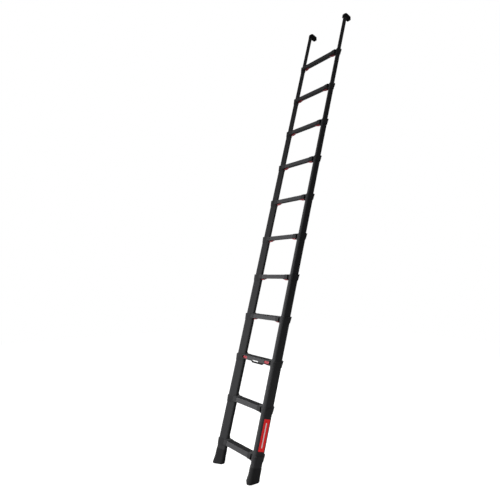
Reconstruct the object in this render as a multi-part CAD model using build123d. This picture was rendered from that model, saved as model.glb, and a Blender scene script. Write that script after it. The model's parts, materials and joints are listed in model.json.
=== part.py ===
from build123d import *
from math import cos, radians, sin, sqrt, tan
import os

# A telescopic ladder at its full length, leaning as it does in use. The floor is z = 0, the origin lies
# on the floor midway between the stile axes, x runs across the rungs and the stiles lean towards +y.
# Sizes are in millimetres and degrees. "Along" means along the stile, measured from the floor.

# Layout
lean = 15.0                     # of the stiles, from the vertical
stile_spacing = 380.0           # from the left stile axis to the right one
first_tread = 161.0             # along, to the lowest tread
rung_pitch = 290.0              # along, from rung to rung when a section is fully out
fixed_rungs = 3                 # on the base tubes; the highest of them is the release rung
moving_sections = 8             # each with one rung; the poles above them have none

# Stile tubes: rounded triangles with the flat side outward and the tip towards the rung
tube_wall = 1.5
slide_gap = 0.5                 # between the flats of a tube and of the tube inside it
pole_core = 18.4                # side of the triangle through the corner centres of the thinnest tube
pole_corner = 5.0               # its outer corner radius
core_step = 2.4                 # by which that triangle's side grows from a tube to the one around it
tube_overlap = 110.0            # tube that stays below the collar's rung when its section is fully out
pole_height = 302.0             # along, from the top tread to the end of the poles

# Rungs: hollow, with a level tread and a front face parallel to the stiles
tread_front = 26.9              # level, from the stile axis forward to the tread's front edge
tread_depth = 55.0
rung_height = 28.5
plain_rung_height = 31.0        # of the rungs below the release rung
rung_floor_depth = 35.5         # of a rung's level underside
rung_wall = 1.8
rung_edge = 3.5                 # corner radius

# Collars: level fittings round the tubes, with a sleeve that holds the rung's end
collar_height = 42.0
collar_proud_top = 6.0          # beyond the tube, at the collar's top
collar_proud_low = 2.4          # beyond the tube, at the collar's bottom
lip_thickness = 4.0             # of the rim that covers the tube's end
lip_clearance = 0.35            # round the tube that slides through the rim
tube_seat = 0.1                 # round the tube that the collar is fixed to
sleeve_wall = 2.0
sleeve_length = 20.0            # from the collar's tip towards the middle of the rung
sleeve_root = 12.0              # from the collar's tip towards the stile
rung_seat = 0.15                # round the rung's end in its sleeve
rung_stop = 4.0                 # of solid collar between its tip and the rung's end
gusset_width = 16.0             # of the web under a fixed rung's sleeve

# Lock pins, with their sliders in the hollow rungs
pin_radius = 4.5
pin_clearance = 0.2             # round the pin in the collar and its tube
lock_clearance = 0.4            # round the pin in the tube that it locks
pin_drop = 14.0                 # from the tread down to the pin's axis
pin_standoff = 0.5              # between the withdrawn pin and the tube that it locks
latch_travel = 6.0
latch_room = 1.5                # kept free at both ends of the travel
slider_length = 30.0
slider_width = 20.0
slider_height = 14.0
slider_setback = 8.0            # from the stile axis forward to the slider's middle

# Triggers under the moving rungs
trigger_length = 42.0
trigger_width = 12.0
trigger_setback = 11.0          # from the stile axis forward to the trigger's middle
trigger_hang = 8.3              # below the sleeve at the outer end
trigger_tip = 9.0               # length of the flat lowest part under the rung's end
trigger_reach = 7.0             # by which that part goes on outward, under the sleeve
trigger_rise = 1.0              # below the rung at the inner end
trigger_edge = 1.0              # rounding of the finger side
slot_clearance = 0.6            # on each side of the trigger or the stem

# Release buttons, behind windows in the front of the release rung
button_length = 48.0
button_height = 17.0
button_thickness = 4.0
button_corner = 6.0
button_edge = 1.0
button_recess = 3.0             # behind the rung's front
button_drop = 13.5              # along, from the tread's front edge to the button's middle
button_inset = 22.0             # from the collar's tip towards the middle of the rung
stem_length = 18.0
stem_height = 8.0

# Carry handle, set in an opening in the underside of the release rung
handle_length = 150.0
handle_depth = 10.0
handle_setback = 12.0           # from the stile axis forward to the handle's middle
handle_drop = 14.8
handle_bow = 9.5                # thickness of the gripped bar
handle_end = 5.0                # thickness of the ends
handle_run = 20.0               # by which the ends slope inward
handle_round = 14.0             # under the ends of the bar
handle_hollow = 6.0             # corner radius over the ends of the bar
handle_seat = 0.2               # between the ends and the edges of the opening
tab_length = 8.0                # of the tabs that lie on the rung's floor inside
tab_height = 3.0
opening_front = 29.0            # from the stile axis forward to the opening's front edge
opening_depth = 26.0

# Notch for the fingers, in the front of the release rung over the handle
notch_length = 70.0
notch_height = 11.2
notch_corner = 8.0

# Plugs that close and guide the lower end of each sliding tube
plug_clearance = 0.25
plug_height = 10.0
plug_spigot = 12.0
plug_seat = 0.1

# Feet
foot_height = 90.0              # along
foot_waist = 38.0               # along, where the flare to the sole begins
foot_proud_top = 1.8            # beyond the tube, at the foot's top
foot_proud_waist = 2.4          # beyond the tube, at the waist
foot_proud_low = 7.4            # beyond the tube, at the sole
foot_toe = 2.5                  # by which the sole stands further forward
foot_floor = 24.0               # along, rubber under the end of the base tube
foot_seat = 0.1

# Caps on the poles, with an upright face against the wall behind
cap_crown = 12.0                # along, above the end of the pole
cap_length = 35.0               # along, from the crown to the underside at the front
cap_shoulder = 10.0             # along, from the crown to the top of the front
cap_width = 31.0
cap_front = 16.0                # from the pole's axis to the cap's front
cap_front_round = 9.0
cap_reach = 43.0                # level, from the crown to the wall face
wall_face_drop = 14.0           # from the crown down to the wall face
wall_face_height = 28.0
cap_top_round = 6.0
cap_seat = 0.1

# Values that follow from the sizes above
tilt = radians(lean)
upward = Vector(0, sin(tilt), cos(tilt))
backward = Vector(0, cos(tilt), -sin(tilt))
stile_x = stile_spacing / 2
pole = moving_sections + 1
top_rung = fixed_rungs + moving_sections
corner_step = tube_wall + slide_gap - core_step / (2 * sqrt(3))
pole_end = first_tread + rung_pitch * (top_rung - 1) + pole_height
flare = (collar_proud_top - collar_proud_low) / collar_height


def tread(number):
    """Distance along the stile to the tread of a rung, counted from 1 at the bottom."""
    return first_tread + rung_pitch * (number - 1)


def on_axis(along):
    """Point of the right stile's axis."""
    return Vector(stile_x, 0, 0) + upward * along


def core_side(index):
    """Side of the triangle through a tube's corner centres; tube 0 is the base tube."""
    return pole_core + (pole - index) * core_step


def corner_radius(index):
    return pole_corner + (pole - index) * corner_step


def tip_reach(index, grow=0.0):
    """Distance from a tube's axis to its rounded tip."""
    return core_side(index) / sqrt(3) + corner_radius(index) + grow


def flat_reach(index, grow=0.0):
    """Distance from a tube's axis to its flat outer side."""
    return core_side(index) / (2 * sqrt(3)) + corner_radius(index) + grow


def tube_outline(index, grow=0.0):
    """Cross-section of a right stile tube, moved outward by grow."""
    corner = corner_radius(index) + grow
    sharp_tip = core_side(index) / sqrt(3) + 2 * corner
    half_side = sharp_tip * sqrt(3) / 2
    triangle = Polygon((-sharp_tip, 0), (sharp_tip / 2, -half_side), (sharp_tip / 2, half_side), align=None)
    return fillet(triangle.vertices(), corner)


def across_stile(along):
    """Plane square to the right stile."""
    return Plane(origin=on_axis(along), x_dir=(1, 0, 0), z_dir=upward)


def stile_prism(index, low, high, grow=0.0):
    """Solid along the right stile between two distances from the floor."""
    return extrude(across_stile(low) * tube_outline(index, grow), high - low)


def tapered_prism(index, low, high, grow_low, grow_high, toe=0.0):
    """Solid along the right stile that widens from one end to the other, its low end moved forward."""
    low_end = Pos(backward * -toe) * (across_stile(low) * tube_outline(index, grow_low))
    return loft([low_end, across_stile(high) * tube_outline(index, grow_high)], ruled=True)


def level_slab(low, high):
    """Level layer round the right stile, used to cut pieces off level."""
    middle = (low + high) / 2
    return Pos(stile_x, middle * tan(tilt), middle) * Box(stile_spacing, stile_spacing, high - low)


def height_of(number):
    """Height of a rung, from its underside to its tread."""
    return plain_rung_height if number < fixed_rungs else rung_height


def rung_outline(number, grow=0.0):
    """Cross-section of a rung, measured level from the tread over the stile axis."""
    floor = -height_of(number)
    floor_front = floor * tan(tilt) - tread_front
    section = Polygon(
        (-tread_front, 0),
        (floor_front, floor),
        (floor_front + rung_floor_depth, floor),
        (tread_depth - tread_front, 0),
        align=None,
    )
    section = fillet(section.vertices(), rung_edge)
    return offset(section, grow) if grow else section


def rung_prism(number, start, end, grow=0.0):
    """Solid with a rung's section between two places across the ladder."""
    place = upward * tread(number) + Vector(start, 0, 0)
    across = Plane(origin=place, x_dir=(0, 1, 0), z_dir=(1, 0, 0))
    return extrude(across * rung_outline(number, grow), end - start)


def level_box(number, x_range, y_middle, y_width, z_range):
    """Box at a rung, with y and z measured from the tread over the stile axis."""
    place = upward * tread(number)
    x_low, x_high = x_range
    z_low, z_high = z_range
    centre = Vector((x_low + x_high) / 2, y_middle, (z_low + z_high) / 2)
    return Pos(place + centre) * Box(x_high - x_low, y_width, z_high - z_low)


def collar_tip(index):
    """Place across the ladder of the tip of the right collar's top."""
    return stile_x - tip_reach(index, collar_proud_top)


def tube_index(number):
    """Tube that carries a rung."""
    return max(0, number - fixed_rungs)


def collar_top(number):
    """Height of a collar's level top, flush with the top of the rung's sleeve."""
    return tread(number) * cos(tilt) + sleeve_wall


def pin_rod(number, radius, inner, outer):
    """Rod on a lock pin's axis, between two places across the ladder."""
    height = tread(number) * cos(tilt) - pin_drop
    middle = Vector((inner + outer) / 2, height * tan(tilt), height)
    return Pos(middle) * Rot(0, 90, 0) * Cylinder(radius, outer - inner)


def slider_end(index):
    """Outer end of the withdrawn slider and of its trigger."""
    return collar_tip(index) - rung_stop - latch_travel - latch_room


def trigger_slot(number):
    """Room for a trigger in the underside of a rung's end and of its sleeve."""
    index = tube_index(number)
    outer = collar_tip(index) - rung_stop
    inner = slider_end(index) - trigger_length - slot_clearance
    width = trigger_width + 2 * slot_clearance
    lowest = -rung_height - sleeve_wall - trigger_hang
    return level_box(number, (inner, outer), -trigger_setback, width, (lowest, -rung_height / 2))


def front_plane(number, x, drop, grow):
    """Plane on a rung's front face, moved out by grow, with its y axis up along the stile."""
    edge = upward * tread(number) + Vector(x, -tread_front, 0)
    return Plane(origin=edge - upward * drop - backward * grow, x_dir=(1, 0, 0), z_dir=backward * -1)


def side_plane(number, setback):
    """Upright plane along a rung, forward of the stile axis, with its x axis across the ladder."""
    place = upward * tread(number) - Vector(0, setback, 0)
    return Plane(origin=place, x_dir=(1, 0, 0), z_dir=(0, -1, 0))


def button_window():
    """Room for a release button in the front of the release rung and of its sleeve."""
    length = button_length + latch_travel + 2 * slot_clearance
    height = button_height + 2 * slot_clearance
    x = collar_tip(0) - button_inset + latch_travel / 2
    sketch = RectangleRounded(length, height, button_corner)
    depth = button_recess + button_thickness + slot_clearance
    return extrude(front_plane(fixed_rungs, x, button_drop, 2 * sleeve_wall) * sketch, -depth - 2 * sleeve_wall)


def latch_cut(number):
    """Room that a latch needs in the rung's end and in the collar's sleeve."""
    return button_window() if number == fixed_rungs else trigger_slot(number)


def both_sides(piece):
    return [piece, mirror(piece, about=Plane.YZ)]


def save(name, *pieces):
    """Write the solids of one node."""
    solids = [solid for piece in pieces for solid in piece.solids()]
    export_step(Compound(solids), f"parts/{name}.step")


def stile_tube(index):
    """Right tube of a section, cut level under its collar's rim, with the holes for the lock pins."""
    number = fixed_rungs + index
    low = foot_floor if index == 0 else tread(number - 1) - tube_overlap
    high = pole_end if index == pole else tread(number) + rung_height
    outside = stile_x - tip_reach(index, tube_wall)
    cuts = []
    if index < pole:
        end = collar_top(number) - lip_thickness
        cuts.append(level_slab(end, end + rung_pitch))
        cuts.append(pin_rod(number, pin_radius + pin_clearance, outside, stile_x))
    if index > 0:
        cuts.append(pin_rod(number - 1, pin_radius + lock_clearance, outside, stile_x))
    return stile_prism(index, low, high) - stile_prism(index, low, high, -tube_wall) - cuts


def collar(number):
    """Right fitting of a rung: a tapered ring round the tube and a sleeve round the rung's end."""
    index = tube_index(number)
    top = collar_top(number)
    bottom = top - collar_height
    tip = collar_tip(index)
    run_out = tip_reach(index, collar_proud_top) * tan(tilt)
    low = bottom / cos(tilt) - run_out
    high = top / cos(tilt) + run_out
    spread = run_out * flare
    ring = tapered_prism(index, low, high, collar_proud_low - spread, collar_proud_top + spread)
    ring &= level_slab(bottom, top)
    body = ring + rung_prism(number, tip - sleeve_length, tip + sleeve_root, sleeve_wall)
    if number < fixed_rungs:
        body += gusset(number)
    bore = stile_prism(index, low, high, tube_seat)
    if number >= fixed_rungs:
        bore &= level_slab(bottom - run_out, top - lip_thickness)
        bore += stile_prism(index + 1, low, high, lip_clearance)
        body -= pin_rod(number, pin_radius + pin_clearance, tip - sleeve_length, stile_x)
        body -= latch_cut(number)
    body -= bore
    return body - rung_prism(number, tip - sleeve_length, tip - rung_stop, rung_seat)


def gusset(number):
    """Web that carries a fixed rung's sleeve down to the bottom of its collar."""
    tip = collar_tip(0)
    floor = -height_of(number)
    lowest = sleeve_wall - collar_height
    web = Polygon(
        (tip - sleeve_length, floor),
        (tip + sleeve_root, floor),
        (tip + sleeve_root, lowest),
        (tip + collar_proud_top, lowest),
        align=None,
    )
    setback = tread_front - floor * tan(tilt) - rung_floor_depth / 2
    return extrude(side_plane(number, setback) * web, gusset_width / 2, both=True)


def rung(number):
    """Hollow rung between its two sleeves, open at the ends."""
    half = collar_tip(tube_index(number)) - rung_stop
    body = rung_prism(number, -half, half) - rung_prism(number, -half, half, -rung_wall)
    if number >= fixed_rungs:
        for cut in both_sides(latch_cut(number)):
            body -= cut
    if number == fixed_rungs:
        body -= handle_opening()
        body -= finger_notch()
    return body


def handle_opening():
    """Room for the carry handle in the floor of the release rung."""
    half = handle_length / 2 + handle_seat
    middle = opening_depth / 2 - opening_front
    floor_range = (-rung_height - rung_wall, -rung_height + 2 * rung_wall)
    return level_box(fixed_rungs, (-half, half), middle, opening_depth, floor_range)


def finger_notch():
    """Room for the fingers in the front of the release rung, from the opening forward."""
    half = notch_length / 2
    low = -2 * rung_height
    high = notch_height - rung_height
    outline = Polygon((-half, low), (half, low), (half, high), (-half, high), align=None)
    outline = fillet(outline.vertices().sort_by(Axis.Y)[-2:], notch_corner)
    return extrude(side_plane(fixed_rungs, opening_front) * outline, rung_height)


def slider(number):
    """Right slider in the hollow rung, with its lock pin, withdrawn from the inner tube."""
    index = tube_index(number)
    end = slider_end(index)
    low = -pin_drop - slider_height / 2
    block = level_box(
        number, (end - slider_length, end), -slider_setback, slider_width, (low, low + slider_height)
    )
    pin_tip = stile_x - tip_reach(index + 1) - pin_standoff
    return block + pin_rod(number, pin_radius, end - slider_length / 2, pin_tip)


def trigger(number):
    """Right lock of a moving rung: the slider with a wedge under the rung for the fingers."""
    end = slider_end(tube_index(number))
    start = end - trigger_length
    root = -pin_drop
    under = -rung_height - sleeve_wall - slot_clearance
    lowest = -rung_height - sleeve_wall - trigger_hang
    wedge = Polygon(
        (start, root),
        (start, -rung_height - trigger_rise),
        (end - trigger_tip, lowest),
        (end + trigger_reach, lowest),
        (end + trigger_reach, under),
        (end, under),
        (end, root),
        align=None,
    )
    body = extrude(side_plane(number, trigger_setback) * wedge, trigger_width / 2, both=True)
    highest = tread(number) * cos(tilt) + under - trigger_edge
    finger_edges = [edge for edge in body.edges() if edge.center().Z < highest]
    return fillet(finger_edges, trigger_edge) + slider(number)


def release_button():
    """Right lock of the release rung: the slider with a stem to a button behind the rung's front."""
    x = collar_tip(0) - button_inset
    face = front_plane(fixed_rungs, x, button_drop, -button_recess)
    plate = extrude(face * RectangleRounded(button_length, button_height, button_corner), -button_thickness)
    outer = plate.faces().sort_by(Axis(face.origin, face.z_dir))[-1]
    plate = fillet(outer.edges(), button_edge)
    root = front_plane(fixed_rungs, x, button_drop, -button_recess - button_thickness / 2)
    stem = extrude(root * Rectangle(stem_length, stem_height), -slider_width)
    return plate + stem + slider(fixed_rungs)


def carry_handle():
    """Bow under the middle of the release rung, with tabs that lie on the rung's floor inside."""
    half = handle_length / 2
    inside = half - handle_end
    floor = -rung_height
    shelf = floor + rung_wall
    top = shelf + tab_height
    low = floor - handle_drop
    bar = low + handle_bow

    def bow(reach, bottom, corner):
        foot = reach - handle_run
        outline = Polygon(
            (-reach, top), (-reach, floor), (-foot, bottom), (foot, bottom), (reach, floor), (reach, top), align=None
        )
        return fillet(outline.vertices().sort_by(Axis.Y)[:2], corner)

    end = half + tab_length
    tabs = Polygon((-end, shelf), (end, shelf), (end, top), (-end, top), align=None)
    profile = bow(half, low, handle_round) + tabs - bow(inside, bar, handle_hollow)
    return extrude(side_plane(fixed_rungs, handle_setback) * profile, handle_depth / 2, both=True)


def plug(index):
    """Right plug: a flange that fits the tube outside and a spigot in its own tube."""
    end = tread(fixed_rungs + index - 1) - tube_overlap
    flange = stile_prism(index - 1, end - plug_height, end, -tube_wall - plug_clearance)
    return flange + stile_prism(index, end - plug_height / 2, end + plug_spigot, -tube_wall - plug_seat)


def foot():
    """Right rubber foot: a shoe with a waist that flares down to a level sole."""
    run_out = tip_reach(0, foot_proud_low) * tan(tilt)
    shoe = tapered_prism(0, foot_waist, foot_height, foot_proud_waist, foot_proud_top)
    shoe += tapered_prism(0, -run_out, foot_waist, foot_proud_low, foot_proud_waist, foot_toe)
    shoe -= level_slab(-stile_spacing, 0)
    return shoe - stile_prism(0, foot_floor, foot_height + run_out, foot_seat)


def cap():
    """Right pole cap: a hood with a flat face that stands upright against the wall."""
    crown = on_axis(pole_end + cap_crown)

    def beside_pole(back, up):
        return (back * cos(tilt) + up * sin(tilt), up * cos(tilt) - back * sin(tilt))

    profile = Polygon(
        (0, 0),
        (cap_reach, -wall_face_drop),
        (cap_reach, -wall_face_drop - wall_face_height),
        beside_pole(-cap_front, -cap_length),
        beside_pole(-cap_front, -cap_shoulder),
        align=None,
    )
    profile = fillet(profile.vertices().sort_by(Axis.Y)[-3:], cap_top_round)
    middle = (flat_reach(pole) - tip_reach(pole)) / 2
    side = Plane(origin=crown + Vector(middle, 0, 0), x_dir=(0, 1, 0), z_dir=(1, 0, 0))
    hood = extrude(side * profile, cap_width / 2, both=True)
    depth = cap_front + 2 * cap_reach
    plan = Pos(middle, depth / 2 - cap_front) * RectangleRounded(cap_width, depth, cap_front_round)
    hood &= extrude(across_stile(pole_end - cap_length) * plan, 2 * cap_length)
    return hood - stile_prism(pole, pole_end - 2 * cap_length, pole_end, cap_seat)


os.makedirs("parts", exist_ok=True)

save("base_tubes", *both_sides(stile_tube(0)))
save("base_collars", *both_sides(collar(fixed_rungs)))
save("lower_sockets", *[side for number in range(1, fixed_rungs) for side in both_sides(collar(number))])
save("lower_rungs", *[rung(number) for number in range(1, fixed_rungs)])
save("release_rung", rung(fixed_rungs))
save("carry_handle", carry_handle())
right_button, left_button = both_sides(release_button())
save("release_button_right", right_button)
save("release_button_left", left_button)
save("feet", *both_sides(foot()))

for section in range(1, moving_sections + 1):
    number = fixed_rungs + section
    save(f"section_{section}_tubes", *both_sides(stile_tube(section)))
    save(f"section_{section}_collars", *both_sides(collar(number)))
    save(f"section_{section}_rung", rung(number))
    save(f"section_{section}_plugs", *both_sides(plug(section)))
    right_latch, left_latch = both_sides(trigger(number))
    save(f"section_{section}_latch_right", right_latch)
    save(f"section_{section}_latch_left", left_latch)

save("top_poles", *both_sides(stile_tube(pole)))
save("top_plugs", *both_sides(plug(pole)))
save("top_caps", *both_sides(cap()))
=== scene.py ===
import json
from math import copysign, cos, pi, radians, sin, sqrt

import bmesh
import bpy
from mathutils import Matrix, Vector
from mathutils.bvhtree import BVHTree

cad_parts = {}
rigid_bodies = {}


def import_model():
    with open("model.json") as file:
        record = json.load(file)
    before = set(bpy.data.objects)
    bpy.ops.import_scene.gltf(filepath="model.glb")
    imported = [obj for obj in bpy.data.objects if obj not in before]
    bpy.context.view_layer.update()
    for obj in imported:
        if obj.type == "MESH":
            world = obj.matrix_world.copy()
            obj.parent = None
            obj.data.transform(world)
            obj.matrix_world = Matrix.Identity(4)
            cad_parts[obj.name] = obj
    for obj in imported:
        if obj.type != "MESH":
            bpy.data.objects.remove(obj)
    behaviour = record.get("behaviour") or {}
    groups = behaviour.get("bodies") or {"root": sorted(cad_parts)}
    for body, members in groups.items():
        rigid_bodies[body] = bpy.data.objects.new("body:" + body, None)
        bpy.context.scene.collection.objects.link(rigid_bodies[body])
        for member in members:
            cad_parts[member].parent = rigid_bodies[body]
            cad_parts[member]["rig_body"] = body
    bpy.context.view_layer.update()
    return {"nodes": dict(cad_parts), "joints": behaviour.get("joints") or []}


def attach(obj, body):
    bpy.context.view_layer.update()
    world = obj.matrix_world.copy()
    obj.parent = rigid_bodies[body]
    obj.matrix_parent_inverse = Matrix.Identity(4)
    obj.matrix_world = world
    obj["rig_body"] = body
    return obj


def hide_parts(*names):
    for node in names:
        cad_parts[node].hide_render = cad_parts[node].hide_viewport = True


# Looks of a telescopic ladder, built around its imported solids. Lengths are in metres. Across runs along
# the rungs, wallward level to the back, upward along the leaning stiles, and backward square to across
# and upward, away from the climber.

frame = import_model()
nodes = frame["nodes"]

across = Vector((1, 0, 0))
wallward = Vector((0, 1, 0))
vertical = Vector((0, 0, 1))
upward = Vector(frame["joints"][0]["axis"]).normalized()
backward = upward.cross(across)
lean = backward.angle(wallward)

# Softened edges of the moulded pieces
weld = 1e-6                     # vertices nearer than this are one
flat_angle = radians(0.4)       # faces nearer than this in angle are one flat
short_edge = 0.00025            # shorter edges are merged, and cuts go through vertices as near
sharp_angle = radians(28)       # sharper edges can be rounded
shade_angle = radians(35)       # sharper edges stay sharp in the shading
on_plane = 0.00002              # vertices nearer to a plane than this lie on it
probe_step = 0.0002             # off an edge, to look across a bore
widest_bore = 0.09
round_steps = 3                 # faces across a rounding
round_profile = 0.5             # of a rounding that is an arc of a circle
collar_top_round = 0.0008
collar_low_round = 0.0004
sleeve_round = 0.0005
foot_sole_round = 0.0060
roll_steps = 6                  # of the rounding round a sole
underside = -0.9                # faces whose normal has a vertical part under this look down
foot_top_round = 0.0004
cap_round = 0.0013
cap_bore = 0.0006               # round the pole's outline, inside which the cap's edges stay sharp
handle_round = 0.0012
handle_flange = 0.0022          # under the rung, where the handle's edges stay sharp

# Ribbed strip on each tread, measured level from the stile axis. Its near-black tone is partly painted
# shade on the tread tops
strip_front = -0.0232
strip_back = 0.0205
strip_gap = 0.0006              # from the sleeves
strip_sink = 0.0001             # into the tread
strip_base = 0.0003
rib_height = 0.0008
rib_count = 14
rib_share = 0.55                # of the pitch that a rib takes at its foot
rib_crown = 0.6                 # of the rib's foot that its flat top takes

# Grip ridges on the triggers and release buttons
ridge_count = 5
ridge_radius = 0.0007
ridge_steps = 6
trigger_slope = 0.033           # length across the ladder of the trigger's sloping finger side
trigger_start = -0.0295         # level of its inner end from the tread
trigger_end = -0.0388           # level of its outer end
trigger_setback = 0.011         # of the ridges' middle, from the stile axis towards the climber
trigger_ridge = 0.0085          # length of a ridge
trigger_share = (0.28, 0.86)    # of the slope that the ridges take
button_ridge = 0.0095
button_grip = 0.022             # length of the button that the ridges take

# Rivets in the backs of the sleeves
rivet_radius = 0.0032
rivet_height = 0.0013
rivet_sides = 20
rivet_rings = 4                 # of faces between its foot and its crown
rivet_inset = 0.010             # from the sleeve's end
rivet_back = 0.0200             # from the stile axis, level, to a place off the sleeve's back
rivet_drop = 0.0200             # of that place, from the tread

# Ribs on the wall faces of the caps
pad_ribs = 5
pad_pitch = 0.0034
pad_rib = (0.0011, 0.0008)      # half height and depth
pad_half = 0.0125               # half length

# Plain label on the outside of the right base tube
label_low = 0.188               # along the stile from the floor
label_high = 0.383
label_front = -0.0245           # backward from the stile axis
label_back = 0.0215
label_flat = 0.0200             # half width of the tube's flat side
label_bend = 0.0181             # radius of its rounded corner
label_thickness = 0.0002        # over the tube, and as much sunk in it
label_steps = 24
stripe_front = -0.0060
stripe_back = 0.0010
stripe_margin = 0.022

# Camera, as fitted to the photograph's rungs
camera_place = Vector((2.564, -1.6866, 1.2752))
camera_forward = Vector((-0.8166, 0.5747, 0.0536))
camera_lens = 33.25             # millimetres
camera_sensor = 36              # its width in millimetres

# Light
sky_direction = Vector((0.50, 0.62, -0.60))
sky_strength = 0.3
sky_softness = radians(38)
sky_distance = 3.0
softboxes = {                   # place, place aimed at, size, spread in degrees and power in watts
    "front_box": ((-1.0, -2.2, 1.9), (0, 0.1, 0.35), 1.0, 110, 62),
    "back_box": ((-1.2, 3.4, 3.3), (0, 0.3, 0.9), 1.6, 180, 175),
    "side_box": ((2.2, 0.0, 0.35), (0.2, 0.08, 0.28), 0.6, 60, 1.3),
}
ambient = 0.33
floor_bounce = 0.15             # share of the light that the floor throws back at the ladder
floor_shade = 0.22              # share that it throws back where it is seen
floor_glow = 0.93               # its own light where it is seen
floor_size = 14.0

# Grain and gloss of the surfaces, counted to the metre
noise_low = 0.3                 # most values of a noise lie between these two
noise_high = 0.7
lines_across = 1400             # drawn lines on the metal
lines_along = 5                 # changes along a line
line_detail = 3.0
line_depth = 0.00004
line_strength = 0.5
metal_clouds = 9.0              # patches of more and less gloss
metal_cloud_detail = 3.0
metal_roughness = 0.65
metal_uneven = 0.05             # up and down from the roughness
grain_detail = 2.0
grain_strength = 0.6
mould_clouds = 22.0
mould_cloud_detail = 4.0
mould_uneven = 0.06
bluish = 1.04                   # blue of a grey, against its red and green


# Measuring the frame

def span(node, axis, side=0):
    """Lowest and highest place of a node along an axis; side 1 or -1 takes only that half of it."""
    places = [v.co.dot(axis) for v in nodes[node].data.vertices if v.co.x * side >= 0]
    return min(places), max(places)


def body_of(node):
    """Body that a node rides on."""
    return nodes[node]["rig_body"]


pole_middle = sum(span("top_poles", across, 1)) / 2


# Mesh helpers

def new_piece(name, bm, material, body):
    """Put a finished mesh in the scene on a body, shaded anew and smooth up to its sharp edges."""
    bmesh.ops.recalc_face_normals(bm, faces=bm.faces)
    mesh = bpy.data.meshes.new(name)
    bm.to_mesh(mesh)
    bm.free()
    if mesh.has_custom_normals:
        mesh.attributes.remove(mesh.attributes["custom_normal"])
    mesh.polygons.foreach_set("use_smooth", [True] * len(mesh.polygons))
    mesh.set_sharp_from_angle(angle=shade_angle)
    mesh.materials.append(material)
    piece = bpy.data.objects.new(name, mesh)
    bpy.context.scene.collection.objects.link(piece)
    weighted = piece.modifiers.new("weighted normals", "WEIGHTED_NORMAL")
    weighted.keep_sharp = True
    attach(piece, body)
    return piece


def prism(bm, outline, start, end):
    """Closed prism between two copies of an outline, which are moved by start and end."""
    low = [bm.verts.new(point + start) for point in outline]
    high = [bm.verts.new(point + end) for point in outline]
    count = len(outline)
    for i in range(count):
        bm.faces.new((low[i], low[(i + 1) % count], high[(i + 1) % count], high[i]))
    bm.faces.new(reversed(low))
    bm.faces.new(high)


def dome(bm, centre, axis, radius, height, around, rise):
    """Flat-based rivet head with a number of sides around it and of rings in its rise."""
    turn = axis.to_track_quat("Z", "Y").to_matrix()
    rings = []
    for i in range(rise):
        angle = i / rise * pi / 2
        ring = []
        for k in range(around):
            a = 2 * pi * k / around
            local = Vector((
                cos(a) * cos(angle) * radius,
                sin(a) * cos(angle) * radius,
                sin(angle) * height,
            ))
            ring.append(bm.verts.new(centre + turn @ local))
        rings.append(ring)
    top = bm.verts.new(centre + turn @ Vector((0, 0, height)))
    for low, high in zip(rings, rings[1:]):
        for k in range(around):
            bm.faces.new((low[k], low[(k + 1) % around], high[(k + 1) % around], high[k]))
    for k in range(around):
        bm.faces.new((rings[-1][k], rings[-1][(k + 1) % around], top))
    bm.faces.new(reversed(rings[0]))


def cut_through(bm, place, normal, near):
    """Cut a mesh along a plane, through the vertices that lie near it, and give the edges of the cut."""
    everything = [*bm.verts, *bm.edges, *bm.faces]
    cut = bmesh.ops.bisect_plane(bm, geom=everything, dist=near, plane_co=place, plane_no=normal)
    return [item for item in cut["geom_cut"] if isinstance(item, bmesh.types.BMEdge)]


def mark_cuts(bm):
    """Cut a mesh through the poles' middles, so that a flat ring round a bore stays in several faces."""
    planes = (
        (-pole_middle * across, across),
        (pole_middle * across, across),
        (Vector(), backward),
    )
    for place, normal in planes:
        for edge in cut_through(bm, place, normal, short_edge):
            edge.seam = True


def lines_bore(edge, surface):
    """Tell if an edge belongs to a bore or hollow, where a face of it looks across at another one."""
    middle = (edge.verts[0].co + edge.verts[1].co) / 2
    first, second = (face.normal for face in edge.link_faces)
    for normal, other in ((first, second), (second, first)):
        away = (normal - normal.project(other)).normalized()
        if surface.ray_cast(middle + probe_step * (away - other), away, widest_bore)[0] is not None:
            return True
    return False


def roll_in(bm, floor, radius):
    """Roll the walls of a foot in to its sole, along a quarter circle and towards its middle."""
    for i in range(1, roll_steps + 1):
        height = floor + radius * (1 - cos(i / roll_steps * pi / 2))
        cut_through(bm, height * vertical, vertical, on_plane)
    walls = [v for v in bm.verts if any(f.normal.z > underside for f in v.link_faces)]
    for v in walls:
        drop = floor + radius - v.co.z
        if drop > 0:
            out = Vector((v.co.x - copysign(pole_middle, v.co.x), v.co.y, 0)).normalized()
            v.co -= (radius - sqrt(radius ** 2 - drop ** 2)) * out


def softened(node, slot, material, *rounds, roll=None):
    """Rounded stand-in for a moulded node.

    A round is a width and a test for the edges that it takes. A roll is a sole's height and its radius.
    """
    bm = bmesh.new()
    bm.from_mesh(nodes[node].data)
    bmesh.ops.remove_doubles(bm, verts=bm.verts, dist=weld)
    bmesh.ops.dissolve_degenerate(bm, edges=bm.edges, dist=short_edge)
    mark_cuts(bm)
    bmesh.ops.dissolve_limit(
        bm, angle_limit=flat_angle, verts=bm.verts, edges=bm.edges, delimit={"SEAM"},
    )
    if roll:
        roll_in(bm, *roll)
    surface = BVHTree.FromBMesh(bm)
    for width, takes in rounds:
        edges = [
            e for e in bm.edges
            if e.calc_face_angle(0) > sharp_angle and takes(e) and not lines_bore(e, surface)
        ]
        bmesh.ops.bevel(
            bm, geom=edges, offset=width, offset_type="OFFSET", segments=round_steps,
            profile=round_profile, affect="EDGES", clamp_overlap=False,
        )
    piece = new_piece(f"{node}_moulded", bm, material, body_of(node))
    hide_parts(node)
    return piece


def lies_on(axis, *places):
    """Test for edges in one of several planes square to an axis."""
    def test(edge):
        return any(all(abs(v.co.dot(axis) - place) < on_plane for v in edge.verts) for place in places)
    return test


# Materials

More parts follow.
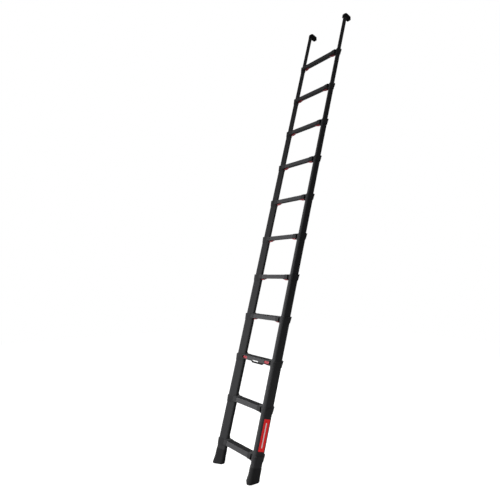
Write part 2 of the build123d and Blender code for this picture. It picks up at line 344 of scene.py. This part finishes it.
def shader(name, roughness, specular):
    """New material, with its node tree and its shader."""
    material = bpy.data.materials.new(name)
    material.use_nodes = True
    tree = material.node_tree
    bsdf = tree.nodes["Principled BSDF"]
    bsdf.inputs["Roughness"].default_value = roughness
    bsdf.inputs["Specular IOR Level"].default_value = specular
    return material, tree, bsdf


def noise(tree, scale, detail, turn=0.0, stretch=(1, 1, 1)):
    """Noise in the object's own space, turned about the across axis and stretched."""
    place = tree.nodes.new("ShaderNodeTexCoord")
    mapping = tree.nodes.new("ShaderNodeMapping")
    mapping.inputs["Rotation"].default_value = (turn, 0, 0)
    mapping.inputs["Scale"].default_value = stretch
    texture = tree.nodes.new("ShaderNodeTexNoise")
    texture.inputs["Scale"].default_value = scale
    texture.inputs["Detail"].default_value = detail
    tree.links.new(place.outputs["Object"], mapping.inputs["Vector"])
    tree.links.new(mapping.outputs["Vector"], texture.inputs["Vector"])
    return texture.outputs["Fac"]


def ramp(tree, value, first, last):
    """Colour that goes from first to last over the values of a noise."""
    node = tree.nodes.new("ShaderNodeValToRGB")
    node.color_ramp.elements[0].position = noise_low
    node.color_ramp.elements[1].position = noise_high
    node.color_ramp.elements[0].color = (*first, 1)
    node.color_ramp.elements[1].color = (*last, 1)
    tree.links.new(value, node.inputs["Fac"])
    return node.outputs["Color"]


def spread(tree, value, low, high):
    """Number that goes from low to high over the values of a noise."""
    node = tree.nodes.new("ShaderNodeMapRange")
    node.inputs["From Min"].default_value = noise_low
    node.inputs["From Max"].default_value = noise_high
    node.inputs["To Min"].default_value = low
    node.inputs["To Max"].default_value = high
    tree.links.new(value, node.inputs["Value"])
    return node.outputs["Result"]


def bump(tree, height, distance, strength):
    """Normal of a surface with a fine relief."""
    node = tree.nodes.new("ShaderNodeBump")
    node.inputs["Distance"].default_value = distance
    node.inputs["Strength"].default_value = strength
    tree.links.new(height, node.inputs["Height"])
    return node.outputs["Normal"]


def grey(value, blue=bluish):
    """Grey with its blue raised a little."""
    return (value, value, value * blue)


def drawn_metal(name, dark, pale, specular, stretch, turn):
    """Anodised aluminium with the fine lines that an extrusion has along its length."""
    material, tree, bsdf = shader(name, metal_roughness, specular)
    lines = noise(tree, scale=1.0, detail=line_detail, turn=turn, stretch=stretch)
    clouds = noise(tree, metal_clouds, metal_cloud_detail)
    gloss = spread(tree, clouds, metal_roughness - metal_uneven, metal_roughness + metal_uneven)
    tree.links.new(ramp(tree, lines, grey(dark), grey(pale)), bsdf.inputs["Base Color"])
    tree.links.new(gloss, bsdf.inputs["Roughness"])
    tree.links.new(bump(tree, lines, line_depth, line_strength), bsdf.inputs["Normal"])
    return material


def moulded(name, dark, pale, roughness, specular, grain, depth):
    """Moulded plastic or rubber with a fine grain and slightly uneven gloss."""
    material, tree, bsdf = shader(name, roughness, specular)
    grains = noise(tree, grain, grain_detail)
    clouds = noise(tree, mould_clouds, mould_cloud_detail)
    gloss = spread(tree, clouds, roughness - mould_uneven, roughness + mould_uneven)
    tree.links.new(ramp(tree, clouds, dark, pale), bsdf.inputs["Base Color"])
    tree.links.new(gloss, bsdf.inputs["Roughness"])
    tree.links.new(bump(tree, grains, depth, grain_strength), bsdf.inputs["Normal"])
    return material


stile_black = drawn_metal(
    "stile_black", dark=0.025, pale=0.031, specular=0.02,
    stretch=(lines_across, lines_across, lines_along), turn=lean,
)
rung_grey = drawn_metal(
    "rung_grey", dark=0.038, pale=0.048, specular=0.02,
    stretch=(lines_along, lines_across, lines_across), turn=0.0,
)
# Near black for the tread strips and the handle; on the tread tops this dark is partly painted shade
tread_black = moulded(
    "tread_black", dark=grey(0.008), pale=grey(0.010),
    roughness=0.70, specular=0.02, grain=1800, depth=0.00005,
)
collar_black = moulded(
    "collar_black", dark=grey(0.021), pale=grey(0.026),
    roughness=0.52, specular=0.03, grain=2200, depth=0.00006,
)
release_red = moulded(
    "release_red", dark=(0.18, 0.011, 0.019), pale=(0.23, 0.015, 0.026),
    roughness=0.38, specular=0.3, grain=2600, depth=0.00002,
)
plug_grey = moulded(
    "plug_grey", dark=grey(0.18), pale=grey(0.21),
    roughness=0.5, specular=0.3, grain=1800, depth=0.00003,
)
foot_rubber = moulded(
    "foot_rubber", dark=grey(0.013), pale=grey(0.017),
    roughness=0.66, specular=0.03, grain=1500, depth=0.00008,
)
pad_rubber = moulded(
    "pad_rubber", dark=grey(0.005), pale=grey(0.007),
    roughness=0.66, specular=0.02, grain=1500, depth=0.00008,
)
rivet_steel = moulded(
    "rivet_steel", dark=grey(0.10), pale=grey(0.14),
    roughness=0.4, specular=0.4, grain=900, depth=0.00001,
)
label_red = moulded(
    "label_red", dark=(0.80, 0.010, 0.012), pale=(0.86, 0.014, 0.016),
    roughness=0.38, specular=0.2, grain=1200, depth=0.00001,
)
label_pale = moulded(
    "label_pale", dark=grey(0.78, blue=1.0), pale=grey(0.84, blue=1.0),
    roughness=0.4, specular=0.3, grain=1200, depth=0.00001,
)


# The ladder

section_count = 8
moving = [f"section_{i}" for i in range(1, section_count + 1)]
release_rung = 3                # its number from the bottom, over two plain rungs
rung_count = release_rung + len(moving)
tread_level = span("release_rung", vertical)[1]
rung_rise = span("section_1_rung", vertical)[1] - tread_level


def tread(number):
    """Middle of a tread, over the stile axes; rungs are counted from 1 at the bottom."""
    return upward * ((tread_level + (number - release_rung) * rung_rise) / upward.z)


def section_of(number):
    """Body that carries a rung."""
    return "base" if number <= release_rung else moving[number - release_rung - 1]


def collar_node(number):
    """Node of the fittings at a rung's ends."""
    return "lower_sockets" if number < release_rung else f"{section_of(number)}_collars"


def paint(material, *names):
    """Give CAD nodes their finish."""
    for name in names:
        nodes[name].data.materials.clear()
        nodes[name].data.materials.append(material)


def collars():
    """Collars and sockets with softened rims."""
    for number in range(release_rung - 1, rung_count + 1):
        node = collar_node(number)
        low, high = span(node, vertical)
        end = span(node, across, 1)[0]
        tops = [high]
        bottoms = [low]
        if number < release_rung:
            tops.append(high - rung_rise)
            bottoms.append(low + rung_rise)
        softened(
            node, "collar_black", collar_black,
            (collar_top_round, lies_on(vertical, *tops)),
            (collar_low_round, lies_on(vertical, *bottoms)),
            (sleeve_round, lies_on(across, end, -end)),
        )


def feet():
    """Feet with a worn-round sole edge."""
    softened(
        "feet", "foot_rubber", foot_rubber,
        (foot_top_round, lies_on(upward, span("feet", upward)[1])),
        roll=(span("feet", vertical)[0], foot_sole_round),
    )


def caps():
    """Caps with edges softened outside the pole's outline, and with ribs on their wall faces."""
    inner, outer = span("top_poles", across, 1)
    front, back = span("top_poles", backward)

    def outside(v):
        x, y = abs(v.co.x), v.co.dot(backward)
        in_width = inner - cap_bore < x < outer + cap_bore
        return not (in_width and front - cap_bore < y < back + cap_bore)

    softened(
        "top_caps", "foot_rubber", pad_rubber,
        (cap_round, lambda edge: any(outside(v) for v in edge.verts)),
    )
    wall = span("top_caps", wallward)[1]
    face = [v.co.z for v in nodes["top_caps"].data.vertices if wall - v.co.y < on_plane]
    middle = (min(face) + max(face)) / 2
    x = sum(span("top_caps", across, 1)) / 2
    height, depth = pad_rib
    bm = bmesh.new()
    for side in (-1, 1):
        for i in range(pad_ribs):
            z = middle + (i - (pad_ribs - 1) / 2) * pad_pitch
            place = Vector((side * x, wall, z))
            outline = [
                place + Vector((0, -depth, -height)), place + Vector((0, 0, -height)),
                place + Vector((0, depth, -height / 2)), place + Vector((0, depth, height / 2)),
                place + Vector((0, 0, height)), place + Vector((0, -depth, height)),
            ]
            prism(bm, outline, -pad_half * across, pad_half * across)
    new_piece("cap_pad_ribs", bm, pad_rubber, body_of("top_caps"))


def handle():
    """Carry handle with a softened bow."""
    floor = span("release_rung", vertical)[0] - handle_flange
    softened(
        "carry_handle", "collar_black", tread_black,
        (handle_round, lambda edge: all(v.co.z < floor for v in edge.verts)),
    )


def painted_shade_tread_strips():
    """Dark ribbed strip on every tread, a real grip strip whose near-black tone is partly painted shade
    on the tread tops.
    """
    pitch = (strip_back - strip_front) / rib_count
    foot = pitch * rib_share
    top = foot * rib_crown
    profile = [(strip_front, -strip_sink), (strip_front, strip_base)]
    for i in range(rib_count):
        middle = strip_front + (i + 0.5) * pitch
        profile += [(middle - foot / 2, strip_base), (middle - top / 2, rib_height)]
        profile += [(middle + top / 2, rib_height), (middle + foot / 2, strip_base)]
    profile += [(strip_back, strip_base), (strip_back, -strip_sink)]
    for number in range(1, rung_count + 1):
        half = span(collar_node(number), across, 1)[0] - strip_gap
        outline = [tread(number) + Vector((0, y, z)) for y, z in profile]
        bm = bmesh.new()
        prism(bm, outline, -half * across, half * across)
        new_piece(f"painted_shade_tread_strip_{number}", bm, tread_black, section_of(number))


def half_round(middle, side, out):
    """Half-round outline about a point, from side to side."""
    points = []
    for i in range(ridge_steps + 1):
        angle = pi * i / ridge_steps
        points.append(middle + ridge_radius * (cos(angle) * side + sin(angle) * out))
    return points


def trigger_ridges():
    """Grip ridges across the sloping finger side of each trigger."""
    first, last = trigger_share
    for number in range(release_rung + 1, rung_count + 1):
        for name, side in (("left", -1), ("right", 1)):
            node = f"{section_of(number)}_latch_{name}"
            inner = min(abs(place) for place in span(node, across))
            start = tread(number) + Vector((side * inner, -trigger_setback, trigger_start))
            slope = Vector((side * trigger_slope, 0, trigger_end - trigger_start))
            along = slope.normalized()
            out = Vector((slope.z * side, 0, -trigger_slope)).normalized()
            bm = bmesh.new()
            for i in range(ridge_count):
                share = first + (last - first) * i / (ridge_count - 1)
                outline = half_round(start + share * slope, along, out)
                prism(bm, outline, -trigger_ridge / 2 * wallward, trigger_ridge / 2 * wallward)
            new_piece(f"{node}_ridges", bm, release_red, body_of(node))


def button_ridges():
    """Grip ridges on the outer face of each release button."""
    out = -backward
    for side in ("left", "right"):
        node = f"release_button_{side}"
        depth = span(node, out)[1]
        face = [v.co for v in nodes[node].data.vertices if depth - v.co.dot(out) < on_plane]
        x = (min(p.x for p in face) + max(p.x for p in face)) / 2
        up = (min(p.dot(upward) for p in face) + max(p.dot(upward) for p in face)) / 2
        centre = x * across + up * upward + depth * out
        bm = bmesh.new()
        for i in range(ridge_count):
            middle = centre + (i / (ridge_count - 1) - 0.5) * button_grip * across
            outline = half_round(middle, across, out)
            prism(bm, outline, -button_ridge / 2 * upward, button_ridge / 2 * upward)
        new_piece(f"{node}_ridges", bm, release_red, body_of(node))


def rivets():
    """Rivet through the back of each sleeve into its rung."""
    for number in range(1, rung_count + 1):
        node = collar_node(number)
        end = span(node, across, 1)[0]
        bm = bmesh.new()
        bm.from_mesh(nodes[node].data)
        surface = BVHTree.FromBMesh(bm)
        bm.clear()
        for side in (-1, 1):
            off = tread(number) + Vector((side * (end + rivet_inset), rivet_back, -rivet_drop))
            place, out = surface.find_nearest(off)[:2]
            dome(bm, place, out, rivet_radius, rivet_height, rivet_sides, rivet_rings)
        new_piece(f"rivets_{number}", bm, rivet_steel, section_of(number))


def wrapped(bm, surface, front, back, low, high, lift):
    """Thin closed sheet that follows the outside of the right base tube."""
    def skin(y, grow):
        past = max(0.0, abs(y) - label_flat)
        x = surface - label_bend + sqrt(label_bend ** 2 - past ** 2)
        return (x + grow) * across + y * backward

    places = [front + (back - front) * i / label_steps for i in range(label_steps + 1)]
    outline = [skin(y, lift + label_thickness) for y in places]
    outline += [skin(y, lift - label_thickness) for y in reversed(places)]
    prism(bm, outline, low * upward, high * upward)


def label():
    """Red label with a pale stripe, both without text."""
    surface = span("base_tubes", across)[1]
    bm = bmesh.new()
    wrapped(bm, surface, label_front, label_back, label_low, label_high, lift=0.0)
    new_piece("label", bm, label_red, "base")
    bm = bmesh.new()
    low, high = label_low + stripe_margin, label_high - stripe_margin
    wrapped(bm, surface, stripe_front, stripe_back, low, high, lift=label_thickness)
    new_piece("label_stripe", bm, label_pale, "base")


collars()
feet()
caps()
handle()
painted_shade_tread_strips()
trigger_ridges()
button_ridges()
rivets()
label()
paint(stile_black, "base_tubes", "top_poles", *[f"{section}_tubes" for section in moving])
paint(rung_grey, "lower_rungs", "release_rung", *[f"{section}_rung" for section in moving])
paint(plug_grey, "top_plugs", *[f"{section}_plugs" for section in moving])
paint(release_red, "release_button_left", "release_button_right")
paint(release_red, *[f"{section}_latch_{side}" for section in moving for side in ("left", "right")])


# Stage, light and camera

def seen_directly(tree):
    """1 for camera, glossy and transmission rays, 0 for the rays that light the object."""
    path = tree.nodes.new("ShaderNodeLightPath")
    total = path.outputs["Is Camera Ray"]
    for ray in ("Is Glossy Ray", "Is Transmission Ray"):
        more = tree.nodes.new("ShaderNodeMath")
        more.operation = "MAXIMUM"
        tree.links.new(total, more.inputs[0])
        tree.links.new(path.outputs[ray], more.inputs[1])
        total = more.outputs["Value"]
    return total


def white_world():
    """White where it is seen, and an even, weaker light on the object."""
    world = bpy.data.worlds.new("studio")
    bpy.context.scene.world = world
    world.use_nodes = True
    tree = world.node_tree
    background = tree.nodes["Background"]
    background.inputs["Color"].default_value = (1, 1, 1, 1)
    light = tree.nodes.new("ShaderNodeMapRange")
    light.inputs["To Min"].default_value = ambient
    tree.links.new(seen_directly(tree), light.inputs["Value"])
    tree.links.new(light.outputs["Result"], background.inputs["Strength"])


def pale_floor():
    """Level floor that merges with the white world and keeps the ladder's soft shadow."""
    bm = bmesh.new()
    bmesh.ops.create_grid(bm, x_segments=1, y_segments=1, size=floor_size / 2)
    mesh = bpy.data.meshes.new("floor")
    bm.to_mesh(mesh)
    bm.free()
    floor = bpy.data.objects.new("floor", mesh)
    bpy.context.scene.collection.objects.link(floor)
    material = bpy.data.materials.new("floor_white")
    material.use_nodes = True
    tree = material.node_tree
    output = tree.nodes["Material Output"]
    tree.nodes.remove(tree.nodes["Principled BSDF"])
    matt = tree.nodes.new("ShaderNodeBsdfDiffuse")
    matt.inputs["Color"].default_value = (floor_bounce, floor_bounce, floor_bounce, 1)
    faint = tree.nodes.new("ShaderNodeBsdfDiffuse")
    faint.inputs["Color"].default_value = (floor_shade, floor_shade, floor_shade, 1)
    glow = tree.nodes.new("ShaderNodeEmission")
    glow.inputs["Strength"].default_value = floor_glow
    both = tree.nodes.new("ShaderNodeAddShader")
    tree.links.new(faint.outputs[0], both.inputs[0])
    tree.links.new(glow.outputs[0], both.inputs[1])
    mix = tree.nodes.new("ShaderNodeMixShader")
    tree.links.new(seen_directly(tree), mix.inputs[0])
    tree.links.new(matt.outputs[0], mix.inputs[1])
    tree.links.new(both.outputs[0], mix.inputs[2])
    tree.links.new(mix.outputs[0], output.inputs["Surface"])
    mesh.materials.append(material)


def add_lamp(lamp, place, direction):
    """Put a lamp in the scene."""
    lamp_object = bpy.data.objects.new(lamp.name, lamp)
    lamp_object.location = place
    lamp_object.rotation_mode = "QUATERNION"
    lamp_object.rotation_quaternion = direction.to_track_quat("-Z", "Y")
    bpy.context.scene.collection.objects.link(lamp_object)


def lamps():
    """Weak wide light from above, and softboxes round the ladder."""
    sky = bpy.data.lights.new("sky", "SUN")
    sky.energy = sky_strength
    sky.angle = sky_softness
    add_lamp(sky, -sky_distance * sky_direction, sky_direction)
    for name, (place, target, size, opening, power) in softboxes.items():
        softbox = bpy.data.lights.new(name, "AREA")
        softbox.energy = power
        softbox.size = size
        softbox.spread = radians(opening)
        add_lamp(softbox, Vector(place), Vector(target) - Vector(place))


def photo_camera():
    """Camera where the photograph was taken from."""
    data = bpy.data.cameras.new("camera")
    data.sensor_width = camera_sensor
    data.lens = camera_lens
    camera = bpy.data.objects.new("camera", data)
    camera.location = camera_place
    camera.rotation_mode = "QUATERNION"
    camera.rotation_quaternion = camera_forward.to_track_quat("-Z", "Y")
    bpy.context.scene.collection.objects.link(camera)
    bpy.context.scene.camera = camera


white_world()
pale_floor()
lamps()
photo_camera()
bpy.context.scene.view_settings.view_transform = "Standard"
